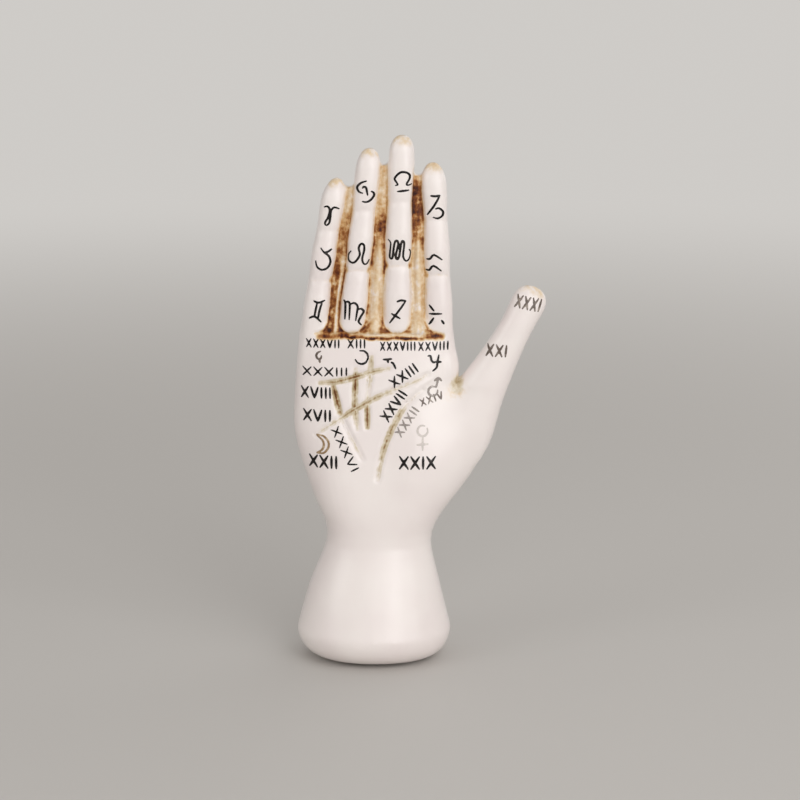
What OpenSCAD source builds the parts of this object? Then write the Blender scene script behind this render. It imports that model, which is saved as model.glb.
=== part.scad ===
// Palmistry hand: an upright hollow-cast hand on a flared foot, palm to the front (-Y) and thumb to the
// right (+X). The origin lies on the table, under the middle of the foot. Millimetres, +Z up.

/* [Foot and wrist] */
// Width of the flared foot
foot_w = 66; // [54:1:76]
// Depth of the flared foot, front to back
foot_d = 58; // [50:1:68]
// Radius of the rounded lower edge of the foot
foot_round = 12; // [8:0.5:14]
// Height of the narrowest part of the wrist
wrist_z = 51; // [44:1:58]
// Width of the wrist at its narrowest
wrist_w = 44.6; // [38:0.2:52]
// Depth of the wrist at its narrowest
wrist_d = 35; // [30:0.5:42]
// How far the middle of the wrist lies towards the thumb
wrist_shift = 1.9; // [0:0.1:4]

/* [Palm] */
// Height of the widest part of the palm
palm_z = 106; // [98:1:114]
// Width of the palm without the thumb
palm_w = 69; // [60:0.5:78]
// Depth from the palm to the back of the hand
palm_d = 27; // [23:0.5:34]
// Height of the crease at the foot of the fingers
finger_z = 142; // [136:1:150]
// Width across the feet of the four fingers, as a share of the palm's width
knuckle_share = 0.94; // [0.88:0.01:1]
// How far the palm stands in front of the middle plane at the crease
knuckle_front = 10; // [8:0.5:13]
// How far the hand reaches behind the middle plane at the crease
knuckle_back = 3.5; // [2:0.5:7]
// How far the ball of the thumb stands out sideways from the palm
ball_reach = 12.5; // [8:0.5:16]
// How far the ball of the thumb swells to the front
ball_swell = 3; // [0:0.5:6]
// How far the outer heel of the palm swells to the front
heel_swell = 2; // [0:0.5:5]

/* [Fingers: little, ring, middle, index] */
// Length of each finger from the crease to its tip
finger_len = [65.4, 78, 83, 71.5]; // [50:0.5:100]
// Width of each finger at its foot
finger_w = [11, 11.4, 11.8, 11.6]; // [9:0.1:13]
// Lean of each finger towards the thumb, in degrees
finger_lean = [6.2, 6, 0.9, -1.2]; // [-6:0.1:10]
// How far each finger's tip bends over towards the thumb
finger_bend = [3.2, 0.2, 0.8, -1.4]; // [-4:0.1:4]
// Depth of the fingers at their feet
finger_d = 13; // [11:0.5:16]
// Length of each finger's rounded end
finger_tip_len = [9.5, 8, 6.5, 8.5]; // [6:0.5:11]
// Depth of the webs that join the fingers
web_d = 6; // [4:0.5:9]
// How far each web stops short of the shorter finger's tip
web_short = [4, 7.5, 5.5]; // [3:0.5:14]
// Width and depth of the creases across the fingers
crease = 1; // [0.6:0.1:1.4]

/* [Thumb] */
// How far the thumb's tip lies outside the palm's edge
thumb_reach = 33.2; // [24:0.2:42]
// Height of the thumb's tip above the wrist
thumb_rise = 110; // [96:1:116]
// Width of the thumb near its end
thumb_w = 15; // [12:0.5:18]
// Depth of the thumb near its end
thumb_d = 14; // [11:0.5:17]
// Width of the thumb where it leaves the palm
thumb_root_w = 30; // [24:0.5:33]
// Length of the thumb's rounded end
thumb_tip_len = 8; // [4:0.5:9]

/* [Hollow and base] */
// Thickness of the casting's wall
wall = 5; // [3.5:0.5:7]
// Thickness of the casting's floor
floor_t = 5; // [4:0.5:8]
// How far the hollow reaches above the widest part of the palm
hollow_rise = 10; // [2:1:16]
// Diameter of the hole through which the casting is poured and vented
pour_d = 14; // [8:1:18]
// Thickness of the base pad
pad_t = 2; // [1.5:0.1:4]
// How far the base pad stands below the foot
pad_proud = 1; // [0.5:0.1:1.4]
// Margin from the pad to the edge of the flat underside
pad_margin = 1.5; // [1:0.5:5]
// Clearance round the pad and the stopper
fit = 0.25; // [0.1:0.05:0.5]

/* [Signs, numerals and palm lines] */
// Height of a zodiac sign
sign_h = 9.6; // [7:0.2:11]
// Width of the drawn strokes
stroke_w = 1; // [0.6:0.05:1.2]
// Thickness of a transfer's film
film_t = 0.25; // [0.15:0.05:0.5]
// Height of the film's underside above the glaze
film_gap = 0.08; // [0.05:0.01:0.15]
// Width of a palm line's groove
line_w = 2; // [1.4:0.1:2.6]
// Depth of a palm line's groove
line_d = 0.9; // [0.6:0.1:1.4]
// How far the colour in a palm line lies below the glaze
fill_sunk = 0.3; // [0.2:0.05:0.5]

/* [Hidden] */
little = 0;
ring = 1;
middle = 2;
index = 3;
fingers = [little : index];
// Levels of the casting
foot_z = pad_proud + foot_round;
heel_z = (wrist_z * 2 + palm_z) / 3;
crown_rise = 9;
crown_z = finger_z + crown_rise;
knuckle_w = palm_w * knuckle_share;
// Labels and planet signs are drawn for a palm this wide, and widen and narrow with it
drawn_palm_w = 69;
palm_scale = [palm_w / drawn_palm_w, 1];
hollow_z = palm_z + hollow_rise;
// How far the palm and the knuckles lie towards the thumb
palm_mid = 0.7;
knuckle_mid = 1.4;
// Where the fingers stand across the knuckles, as shares of the half width
finger_share = [-0.81, -0.33, 0.27, 0.81];
// Facets round the body, a finger, the thumb and the hollow
body_sides = 50;
finger_sides = 20;
thumb_sides = 22;
hollow_sides = 20;

white = "#efe6dc";
black = "#15110f";
grey = "#8d8582";
brown = "#8a5a2b";

function mix(a, b, t) = a + (b - a) * t;
function limit(a, low, high) = max(low, min(high, a));
function bell(a, b) = exp(-(a * a + b * b));
function turned(p, angle) = [p.x * cos(angle) - p.y * sin(angle), p.x * sin(angle) + p.y * cos(angle)];

// Smooth curve through the rows of a table: the value in a column at a place in column 0
function slope(table, i, col) =
    let (a = max(0, i - 1))
    let (b = min(len(table) - 1, i + 1))
    (table[b][col] - table[a][col]) / (table[b][0] - table[a][0]);
function curve(table, at, col) =
    let (below = len([for (row = table) if (row[0] <= at) 1]) - 1)
    let (i = limit(below, 0, len(table) - 2))
    let (span = table[i + 1][0] - table[i][0])
    let (t = limit((at - table[i][0]) / span, 0, 1))
    let (s = 1 - t)
    s * s * (1 + 2 * t) * table[i][col] + t * t * (1 + 2 * s) * table[i + 1][col]
        + span * t * s * (s * slope(table, i, col) - t * slope(table, i + 1, col));

// Rows of the body: height, left edge, right edge, depth in front and depth behind
function body_row(z, mid, w, front, back) = [z, mid - w / 2, mid + w / 2, front, back];
// A row between two others, at shares of the way for the left edge, the right edge and the depth
function between(a, b, z, share) =
    [
        z,
        mix(a[1], b[1], share[0]),
        mix(a[2], b[2], share[1]),
        mix(a[3], b[3], share[2]),
        mix(a[4], b[4], share[2]),
    ];
flare_share = [0.42, 0.52, 0.5];
above_wrist_share = [0.02, -0.03, 0.03];
heel_share = [0.32, 0.24, 0.12];
below_palm_share = [0.9, 0.88, 0.66];
// The crown lies inside the webs
crown_inset = 4;
crown_front = web_d / 2 + 2;
crown_back = web_d / 2 - 1.5;
foot_row = body_row(foot_z, 0, foot_w, foot_d / 2, foot_d / 2);
wrist_row = body_row(wrist_z, wrist_shift, wrist_w, wrist_d / 2, wrist_d / 2);
palm_row = body_row(palm_z, palm_mid, palm_w, palm_d / 2, palm_d / 2);
body = [
    foot_row,
    between(foot_row, wrist_row, (foot_z + wrist_z) / 2, flare_share),
    wrist_row,
    between(wrist_row, palm_row, (wrist_z + heel_z) / 2, above_wrist_share),
    between(wrist_row, palm_row, heel_z, heel_share),
    between(wrist_row, palm_row, (heel_z + palm_z * 2) / 3, below_palm_share),
    palm_row,
    body_row(finger_z, knuckle_mid, knuckle_w, knuckle_front, knuckle_back),
    body_row(crown_z, knuckle_mid, knuckle_w - crown_inset, crown_front, crown_back),
];

// The ball of the thumb widens the body between the wrist and the crotch of the thumb
ball_z = mix(wrist_z, palm_z, 0.65);
ball_x = palm_mid + palm_w * 0.36;
ball_below = 40;
ball_above = 33;
ball_spread = [15, 22];
heel_x = palm_mid - palm_w * 0.3;
heel_mid_z = heel_z + 10;
heel_spread = [12, 20];
// The foot's lower edge is rounded less on the thumb's side
thumb_side_round = 0.8;
function ball(z) =
    let (t = z < ball_z ? (z - ball_z) / ball_below : (z - ball_z) / ball_above)
    abs(t) > 1 ? 0 : pow(cos(90 * t), 2);
function foot_inset(z) = z >= foot_z ? 0 : foot_round - sqrt(max(0, foot_round ^ 2 - (foot_z - z) ^ 2));
function left_edge(z) = curve(body, z, 1) + foot_inset(z);
function right_edge(z) = curve(body, z, 2) + ball_reach * ball(z) - foot_inset(z) * thumb_side_round;
function squareness(z) = lookup(z, [[foot_z, 2.1], [wrist_z, 2.2], [palm_z, 2.6], [finger_z, 3.4]]);
function swell(x, z) =
    ball_swell * bell((x - ball_x) / ball_spread.x, (z - ball_z) / ball_spread.y)
        + heel_swell * bell((x - heel_x) / heel_spread.x, (z - heel_mid_z) / heel_spread.y);

// Height of the palm's surface, as a place on Y, over a place in the front view
outermost = 0.98;
function rounding(u, n) = pow(1 - pow(limit(abs(u), 0, outermost), n), 1 / n);
function palm_y(x, z) =
    let (left = left_edge(z))
    let (right = right_edge(z))
    let (u = (2 * x - left - right) / (right - left))
    -(curve(body, z, 3) - foot_inset(z) + swell(x, z)) * rounding(u, squareness(z));

// One ring of the body at a height, drawn in by an inset and shrunk by a share
function body_ring(z, sides, inset = 0, share = 1) =
    let (left = left_edge(z) + inset)
    let (right = right_edge(z) - inset)
    let (n = 2 / squareness(z))
    let (front = curve(body, z, 3) - foot_inset(z) - inset)
    let (back = curve(body, z, 4) - foot_inset(z) - inset)
    [for (k = [0 : sides - 1])
        let (a = 360 * (k + 0.5) / sides)
        let (x = (left + right) / 2 + (right - left) / 2 * share * sign(cos(a)) * pow(abs(cos(a)), n))
        let (depth = sin(a) < 0 ? front + swell(x, z) : back)
        [x, depth * share * sign(sin(a)) * pow(abs(sin(a)), n), z]];

// Girth of a finger along its length: pads swell between the creases
joint_places = [0.35, 0.67];
finger_girth = [
    [-0.3, 1],
    [0, 1],
    [0.18, 1.03],
    [joint_places[0], 0.9],
    [0.5, 0.98],
    [joint_places[1], 0.86],
    [0.84, 0.95],
    [1, 0.8],
];
finger_square = 2.6;
finger_tip_square = 2.2;
// How far a finger and a web reach down into the palm
finger_root = 16.2;
web_root = 9;
function foot_of(f) =
    let (x = knuckle_mid + finger_share[f] * knuckle_w / 2)
    [x, palm_y(x, finger_z) + finger_d / 2, finger_z];
function along_finger(f) = [sin(finger_lean[f]), 0, cos(finger_lean[f])];
function across_finger(f) = [cos(finger_lean[f]), 0, -sin(finger_lean[f])];
function finger_axis(f, s) =
    foot_of(f) + along_finger(f) * s + [finger_bend[f] * pow(max(0, s) / finger_len[f], 2), 0, 0];
function end_round(s, length, end, n) =
    s < length - end ? 1 : pow(max(0, 1 - pow((s - length + end) / end, n)), 1 / n);
function finger_half(f, s) =
    curve(finger_girth, s / finger_len[f], 1)
        * end_round(s, finger_len[f], finger_tip_len[f], finger_tip_square);
function finger_point(f, across, s) =
    let (girth = finger_half(f, s))
    let (depth = finger_d / 2 * girth * rounding(2 * across / (finger_w[f] * girth), finger_square))
    finger_axis(f, s) + across_finger(f) * across - [0, depth, 0];
function finger_ring(f, s) =
    let (girth = finger_half(f, s))
    let (n = 2 / finger_square)
    [for (k = [0 : finger_sides - 1])
        let (a = 360 * (k + 0.5) / finger_sides)
        finger_axis(f, s)
            + across_finger(f) * finger_w[f] / 2 * girth * sign(cos(a)) * pow(abs(cos(a)), n)
            + [0, finger_d / 2 * girth * sign(sin(a)) * pow(abs(sin(a)), n), 0]];

// The thumb follows a bent line from inside the ball to its tip
thumb_tip = [palm_mid + palm_w / 2 + thumb_reach, wrist_z + thumb_rise];
thumb_root = [palm_mid + palm_w * 0.34, ball_z - 4];
thumb_run = thumb_tip - thumb_root;
bend_share = 0.38;
bend_out = 3.2;
thumb_bend = thumb_root + thumb_run * bend_share + turned(thumb_run, -90) / norm(thumb_run) * bend_out;
thumb_y = -2.5;
thumb_square = 2.3;
thumb_tip_square = 2.3;
thumb_size = [
    [0, thumb_root_w / 2, thumb_d * 0.72],
    [0.3, thumb_root_w / 2, thumb_d * 0.68],
    [0.5, thumb_w * 0.71, thumb_d * 0.61],
    [0.7, thumb_w * 0.52, thumb_d * 0.53],
    [0.86, thumb_w * 0.46, thumb_d / 2],
    [1, thumb_w * 0.55, thumb_d * 0.42],
];
function thumb_line(t) = mix(mix(thumb_root, thumb_bend, t), mix(thumb_bend, thumb_tip, t), t);
function thumb_heading(t) =
    let (d = mix(thumb_bend - thumb_root, thumb_tip - thumb_bend, t))
    d / norm(d);
thumb_length = norm(thumb_bend - thumb_root) + norm(thumb_tip - thumb_bend);
function thumb_shrink(t) = end_round(t * thumb_length, thumb_length, thumb_tip_len, thumb_tip_square);
function thumb_place(across, y, t) =
    let (p = thumb_line(t))
    let (d = thumb_heading(t))
    [p.x + across * d.y, thumb_y + y, p.y - across * d.x];
function thumb_point(across, t) =
    let (half = curve(thumb_size, t, 1) * thumb_shrink(t))
    let (depth = curve(thumb_size, t, 2) * thumb_shrink(t))
    thumb_place(across, -depth * rounding(across / half, thumb_square), t);
function thumb_ring(t) =
    let (half = curve(thumb_size, t, 1) * thumb_shrink(t))
    let (depth = curve(thumb_size, t, 2) * thumb_shrink(t))
    let (n = 2 / thumb_square)
    [for (k = [0 : thumb_sides - 1])
        let (a = 360 * (k + 0.5) / thumb_sides)
        thumb_place(
            half * sign(cos(a)) * pow(abs(cos(a)), n),
            depth * sign(sin(a)) * pow(abs(sin(a)), n),
            t
        )];

// A closed skin over rings of equal point counts
module skin(rings) {
    sides = len(rings[0]);
    last = len(rings) - 1;
    points = [for (r = rings) each r];
    walls = [for (i = [0 : last - 1], j = [0 : sides - 1])
        let (a = i * sides + j)
        let (b = i * sides + (j + 1) % sides)
        each [[a, a + sides, b + sides], [a, b + sides, b]]];
    ends = [[for (j = [0 : sides - 1]) j], [for (j = [sides - 1 : -1 : 0]) last * sides + j]];
    polyhedron(points, concat(walls, ends), convexity = 6);
}

// A drawing site is a surface, a place on it and a turn. A palm site's place is its share across and up the
// palm, a finger site's its finger and share along it, a thumb site's its distance across and share along it
function palm_site(across, up, turn = 0) = ["palm", [across, up], turn];
function finger_site(f, share) = ["finger", [f, share], 0];
function thumb_site(across, share, turn) = ["thumb", [across, share], turn];
function palm_place(across, up) = [palm_mid + across * palm_w / 2, mix(wrist_z, finger_z, up)];
function place_on(site, p) =
    let (q = turned(p, site[2]))
    let (at = site[1])
    let (o = palm_place(at.x, at.y))
    site[0] == "palm" ? [o.x + q.x, palm_y(o.x + q.x, o.y + q.y), o.y + q.y]
        : site[0] == "finger" ? finger_point(at.x, q.x, at.y * finger_len[at.x] + q.y)
        : thumb_point(at.x + q.x, at.y + q.y / thumb_length);
step = 0.05;
function raised(site, p, h) =
    let (right = place_on(site, p + [step, 0]) - place_on(site, p - [step, 0]))
    let (up = place_on(site, p + [0, step]) - place_on(site, p - [0, step]))
    let (out = cross(right, up))
    place_on(site, p) + h * out / norm(out);

// Smooth line through a stroke's points
stroke_steps = 3;
function through(p, i, t) =
    let (a = p[max(0, i - 1)])
    let (d = p[min(len(p) - 1, i + 2)])
    let (s = 1 - t)
    s * s * (1 + 2 * t) * p[i] + t * t * (1 + 2 * s) * p[i + 1]
        + t * s * (s * (p[i + 1] - a) - t * (d - p[i])) / 2;
function smooth(p) =
    [for (i = [0 : len(p) - 2], k = [0 : stroke_steps - 1]) through(p, i, k / stroke_steps), p[len(p) - 1]];

// A band along a stroke on a surface, from a lower to an upper height, slimmer towards its ends
module band(site, points, low_w, high_w, low, high, taper = 0.5) {
    path = smooth(points);
    last = len(path) - 1;
    corners = [for (k = [0 : last])
        let (heading = path[min(last, k + 1)] - path[max(0, k - 1)])
        let (left = turned(heading, 90) / norm(heading) / 2 * (1 - taper * pow(abs(2 * k / last - 1), 3)))
        each [
            raised(site, path[k] + left * low_w, low),
            raised(site, path[k] - left * low_w, low),
            raised(site, path[k] - left * high_w, high),
            raised(site, path[k] + left * high_w, high),
        ]];
    walls = [for (k = [0 : last - 1], j = [0 : 3])
        let (a = 4 * k + j)
        let (b = 4 * k + (j + 1) % 4)
        each [[a, b, b + 4], [a, b + 4, a + 4]]];
    ends = [[3, 2, 1, 0], [for (j = [0 : 3]) 4 * last + j]];
    polyhedron(corners, concat(walls, ends), convexity = 6);
}

// Strokes of one transfer, each laid a little over the one before, scaled across and along
layer = 0.02;
module drawn(site, strokes, size, width) {
    for (k = [0 : len(strokes) - 1]) {
        points = [for (p = strokes[k]) [p.x * size.x, p.y * size.y]];
        low = film_gap - layer * k / len(strokes);
        band(site, points, width, width, low, film_gap + film_t + layer * k);
    }
}

// Zodiac signs: name, finger, share along it and strokes on a grid 10 high
SIGNS = [
    ["aries", little, 0.762, [
        [[-3.5, 3.6], [-2, 4.2], [-0.7, 2.7], [-0.9, -0.5], [-1.8, -3], [-1.1, -4.2]],
        [[3.4, 3.6], [1, 4.1], [-0.1, 2.5], [0.1, -0.5], [0, -3], [-1.1, -4.2]]]],
    ["taurus", little, 0.49, [
        [[-1.9, 4.7], [0, 2.8], [2.2, 1.5], [3.3, -1.1], [2.4, -3.7], [0, -4.8], [-2.2, -3.7], [-3.2, -1.1]],
        [[3.1, 4.7], [1.5, 3.3], [0, 2.8]]]],
    ["gemini", little, 0.155, [
        [[-1.8, 4.3], [0.5, 3.6], [3.3, 4.9]],
        [[0, 3.5], [-0.3, 0.3], [-0.5, -3]],
        [[2.1, 3.8], [1.4, 0.3], [1.2, -3.4]],
        [[-2.9, -3.7], [-0.3, -2.6], [2.8, -4.9]]]],
    ["cancer", ring, 0.775, [
        [[0, 4.6], [-2.1, 3.7], [-3.6, 2.2], [-3.9, 0.9], [-2.8, -0.5], [-1.1, -0.9]],
        [[-1.7, 1.1], [-1, 2], [0, 1.6], [0.5, 0], [1, -1.7]],
        [[2.1, 0.4], [3.4, -0.2], [3.7, -1.5], [2.6, -3.3], [0.8, -4.5], [-1.2, -4.4]]]],
    ["leo", ring, 0.44, [
        [[-3.6, 1], [-4.6, -0.8], [-4.3, -3.1], [-2.8, -4.1], [-1.2, -3.4], [0.3, -0.3], [-0.5, 2.6],
            [0.3, 4.5], [1.6, 4.2], [2, 1.8], [1.5, -1.8], [2.3, -4], [3.6, -4], [4.6, -2]]]],
    ["virgo", ring, 0.12, [
        [[-4.8, 5.2], [-3.9, 4.3], [-3.5, 0.6], [-3.3, -3.2]],
        [[-3.9, 4.2], [-2.9, 4.8], [-1.9, 4.1], [-1.6, 0.6], [-1.4, -3.2]],
        [[-1.7, 3.6], [-0.2, 4.6], [1.2, 4], [1.8, 2.6], [1.6, -0.6], [1.5, -3.3]],
        [[1.8, 1.6], [3, 2.3], [4.1, 1.8], [4.6, 0.9], [3.6, -1.1], [2.8, -3.1], [3.2, -4.1], [4.2, -5]]]],
    ["libra", middle, 0.772, [
        [[-2.5, -1.6], [-1.3, -1.2], [-2.2, 0.2], [-2.8, 1.3], [-1.9, 2.8], [-0.5, 4], [0.9, 4.3], [2.7, 3.9],
            [3.8, 2.7], [3.5, 1], [2.4, -0.9], [3.3, -1.4], [4.8, -0.8]],
        [[-1.6, -4.2], [3.7, -3.5]]]],
    ["scorpio", middle, 0.428, [
        [[-5, 4.7], [-4, 3.8], [-3.7, 2.6], [-3.9, -0.6], [-4, -2.8], [-3.4, -3.6], [-2.7, -2.8],
            [-2.1, 3], [-1.2, 4.4], [-0.4, 3], [-1.4, -2.4], [-0.7, -3.7], [0.1, -2.4], [0.8, 3], [1.5, 4.3],
            [2.2, 3], [1.8, -2.4], [3.2, -4.6], [4.6, -3.2], [5, -0.6], [4.2, 0.6]]]],
    ["sagittarius", middle, 0.118, [
        [[-3.6, -5.1], [0, 0], [3.5, 5]],
        [[-0.6, 4.5], [1.4, 5.2], [3.7, 4.8]],
        [[-2.9, -0.6], [1.2, -2.9]]]],
    ["capricorn", index, 0.748, [
        [[-1.9, 4.9], [0.3, 4.7], [2.5, 5]],
        [[2.4, 5.1], [-0.3, 0.7], [-3.6, -3.5]],
        [[0, -0.9], [1.7, -0.6], [3.3, -2.1], [2.9, -4], [0.8, -5.2], [-1.2, -4.5]]]],
    ["aquarius", index, 0.42, [
        [[-4.8, 1.8], [-3.2, 1.9], [-1.3, 3.7], [2.2, 1.3]],
        [[-5, -2.9], [-3.5, -3], [-1.7, -1.1], [1.8, -3.7]]]],
    ["pisces", index, 0.12, [
        [[-4.2, 4.2], [-2, 1.3]],
        [[-4.4, 0.2], [1.4, 0.2]],
        [[-2.2, -1.4], [-4.3, -4.6]],
        [[1, -2.5], [2.3, -4.5]]]],
];
module zodiac_sign(sign) {
    color(black)
        drawn(finger_site(sign[1], sign[2]), sign[3], [sign_h, sign_h] / 10, stroke_w);
}

// Planet signs: name, share across and up the palm, colour and strokes in millimetres
arc_steps = 7;
function arc(centre, r, from, to) =
    [for (k = [0 : arc_steps])
        let (a = mix(from, to, k / arc_steps))
        centre + r * [cos(a), sin(a)]];
PLANETS = [
    ["mercury", -0.675, 0.898, black, [
        [[0.8, 2.5], [-0.6, 1.8], [-1.2, 0.5], [-0.5, -0.7], [0.7, -0.5], [1, 0.8]],
        [[0.1, -0.7], [0.4, -2.5]]]],
    ["sun", -0.16, 0.9, black, [arc([0, 0], 2.8, 110, -165)]],
    ["saturn", 0.178, 0.869, black, [
        [[-2.8, 1.9], [-0.9, 1.9], [1.1, 2.2]],
        [[-0.9, 1.9], [-0.4, 0.4]],
        [[0.5, 0.7], [1.6, 0.2], [2.7, -2.2]]]],
    ["jupiter", 0.723, 0.871, black, [
        [[-2.9, 2.9], [-1.7, 3], [-1.2, 1.1], [-0.2, 0.2], [1.2, 0.8]],
        [[1.9, 3.4], [1.3, 0.3], [0.9, -2], [-0.9, -3.5]],
        [[1.2, 0.3], [3, 0.3]]]],
    ["mars", 0.73, 0.765, grey, [
        arc([-0.8, -2.2], 2, 50, 375),
        [[0.3, -0.9], [0.8, 0.6], [1.5, 3.1]],
        [[-0.3, 1.9], [1.5, 3.2], [2.8, 1.7]]]],
    ["moon", -0.64, 0.495, brown, [
        [[-2.7, 3.9], [0.3, 3.5], [2.5, 1.2], [2.5, -1.4], [0.5, -3.8], [-2.6, -4]],
        [[-2.5, 3.6], [0, 1.7], [0.6, -0.6], [-0.4, -2.7], [-2.4, -3.8]]]],
    ["venus", 0.582, 0.532, grey, [
        arc([0, 2.8], 2.2, 60, 395),
        [[0, 0.5], [0, -5.4]],
        [[-2.6, -3], [2.5, -2.6]]]],
];
module planet_sign(planet) {
    color(planet[3])
        drawn(palm_site(planet[1], planet[2]), planet[4], palm_scale, stroke_w);
}

// Labels: name, numeral, drawing site, height, width and colour
LABELS = [
    ["mercury_mount", "XXXVII", palm_site(-0.628, 0.961), 3.8, 13.8, black],
    ["sun_mount", "XIII", palm_site(-0.22, 0.962), 4, 7.4, black],
    ["saturn_mount", "XXXVIII", palm_site(0.28, 0.95), 3.8, 14.6, black],
    ["jupiter_mount", "XXVIII", palm_site(0.71, 0.948), 3.8, 12.4, black],
    ["affection", "XXXIII", palm_site(-0.603, 0.831), 3.9, 19, black],
    ["heart", "XVIII", palm_site(-0.713, 0.733), 5, 12.8, black],
    ["outer_mars", "XVII", palm_site(-0.702, 0.626), 5.2, 11.8, black],
    ["moon_mount", "XXII", palm_site(-0.63, 0.412), 5.6, 12, black],
    ["health", "XXXVI", palm_site(-0.363, 0.474, -64), 3.8, 20, black],
    ["head", "XXIII", palm_site(0.352, 0.815, 35), 4.6, 12.6, black],
    ["fate", "XXVII", palm_site(0.23, 0.677, 55), 4.8, 14, black],
    ["life", "XXXII", palm_site(0.388, 0.604, 55), 4, 13.4, grey],
    ["inner_mars", "XXIV", palm_site(0.686, 0.705, 18), 3.4, 9.6, grey],
    ["venus_mount", "XXIX", palm_site(0.52, 0.416), 5.6, 15.4, black],
    ["will", "XXI", thumb_site(-3.2, 0.71, 24), 4.8, 8.4, black],
    ["logic", "XXXI", thumb_site(-0.6, 0.938, 12), 4.6, 10.4, black],
];
letter_gap = 0.9;
// Stroke width of a label one millimetre high, as a share of the other strokes' width
letter_stroke = 0.2;
function letter_share(c) = c == "I" ? 0.3 : 1;
function share_before(numeral, k) = k == 0 ? 0 : share_before(numeral, k - 1) + letter_share(numeral[k - 1]);
function letter_strokes(c, x, w, h) =
    c == "I" ? [[[x + w / 2, h / 2], [x + w / 2, -h / 2]]]
        : c == "V" ? [[[x, h / 2], [x + w / 2, -h / 2]], [[x + w, h / 2], [x + w / 2, -h / 2]]]
        : [[[x, h / 2], [x + w, -h / 2]], [[x + w, h / 2], [x, -h / 2]]];
module numeral_label(label) {
    count = len(label[1]);
    unit = (label[4] - letter_gap * (count - 1)) / share_before(label[1], count);
    strokes = [for (k = [0 : count - 1])
        let (x = share_before(label[1], k) * unit + letter_gap * k - label[4] / 2)
        each letter_strokes(label[1][k], x, letter_share(label[1][k]) * unit, label[3])];
    color(label[5])
        drawn(label[2], strokes, palm_scale, label[3] * letter_stroke * stroke_w);
}

// Palm lines: name and points, as shares across and up the palm
LINES = [
    ["heart", [[-0.68, 0.777], [-0.48, 0.785], [-0.27, 0.803], [0, 0.834], [0.18, 0.848]]],
    ["head", [[-0.73, 0.535], [-0.36, 0.63], [-0.08, 0.693], [0.19, 0.742], [0.4, 0.77], [0.65, 0.818]]],
    ["life", [[0.76, 0.79], [0.51, 0.725], [0.32, 0.65], [0.15, 0.521], [0.07, 0.422], [0.03, 0.327]]],
    ["fate", [[-0.04, 0.907], [-0.06, 0.81], [-0.09, 0.7], [-0.09, 0.572]]],
    ["sun", [[-0.23, 0.848], [-0.24, 0.75], [-0.24, 0.65], [-0.21, 0.562]]],
    ["health", [[-0.51, 0.772], [-0.47, 0.708], [-0.41, 0.622], [-0.3, 0.534], [-0.15, 0.427]]],
];
palm_origin = palm_site(0, 0);
line_taper = 0.4;
groove_floor_w = line_w * 0.6;
groove_mouth_w = line_w * 1.4;
fill_floor_w = line_w * 0.54;
fill_top_w = line_w * 0.72;
// Each groove is a little deeper than the one before, so that no two floors lie level where they cross
depth_step = line_d / 15;
function groove_depth(k) = line_d + k * depth_step;
function line_points(k) = [for (p = LINES[k][1]) palm_place(p.x, p.y) - palm_place(0, 0)];
module line_groove(k) {
    band(palm_origin, line_points(k), groove_floor_w, groove_mouth_w, -groove_depth(k), line_d, line_taper);
}
module line_fill(k) {
    low = film_gap - groove_depth(k);
    color(brown)
        difference() {
            band(palm_origin, line_points(k), fill_floor_w, fill_top_w, low, -fill_sunk, line_taper);
            for (earlier = [0 : 1 : k - 1])
                line_groove(earlier);
        }
}

// A rod inside a finger, from inside the palm to a distance along the finger
module finger_rod(f, top) {
    back = 1;
    low = finger_axis(f, -web_root);
    run = finger_axis(f, top) - low;
    translate(low + [0, back, 0])
        rotate([0, atan2(run.x, run.z), 0])
            cylinder(h = norm(run), d = web_d, $fn = 16);
}

// A web from one finger to the next
module web(f) {
    top = min(finger_len[f], finger_len[f + 1]) - web_short[f];
    hull() {
        finger_rod(f, top);
        finger_rod(f + 1, top);
    }
}

// A shallow rounded groove across the front of a finger's joint
module joint_crease(f, share) {
    s = share * finger_len[f];
    reach = finger_w[f] * 0.33;
    lift = crease * 0.3;
    for (side = [-1, 1])
        hull()
            for (across = [0, side * reach])
                translate(finger_point(f, across, s) - [0, lift, 0])
                    sphere(d = crease * 1.6, $fn = 12);
}

// The crease along the feet of the four fingers
module finger_foot_crease() {
    points = [for (f = fingers) [foot_of(f).x - palm_place(0, 0).x, finger_z - wrist_z]];
    depth = crease * 1.2;
    mouth = crease * 3;
    band(palm_origin, points, crease, mouth, -depth, depth);
}

finger_steps = 14;
end_angles = [14 : 16 : 78];
// How far short of its length a limb's last, nearly closed ring lies
tip_flat = 0.02;
module finger(f) {
    shaft = finger_len[f] - finger_tip_len[f];
    places = concat(
        [for (k = [0 : finger_steps]) mix(-finger_root, shaft, k / finger_steps)],
        [for (a = end_angles) shaft + finger_tip_len[f] * sin(a)],
        [finger_len[f] - tip_flat]
    );
    skin([for (s = places) finger_ring(f, s)]);
}

thumb_steps = 13;
module thumb() {
    shaft = 1 - thumb_tip_len / thumb_length;
    places = concat(
        [for (k = [0 : thumb_steps]) shaft * k / thumb_steps],
        [for (a = end_angles) mix(shaft, 1, sin(a))],
        [1 - tip_flat / thumb_length]
    );
    skin([for (t = places) thumb_ring(t)]);
}

body_steps = 29;
module hand_body() {
    rows = concat(
        [for (a = [0 : 15 : 75]) foot_z - foot_round * cos(a)],
        [for (k = [0 : body_steps]) mix(foot_z, crown_z, k / body_steps)]
    );
    skin([for (z = rows) body_ring(z, body_sides)]);
}

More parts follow.
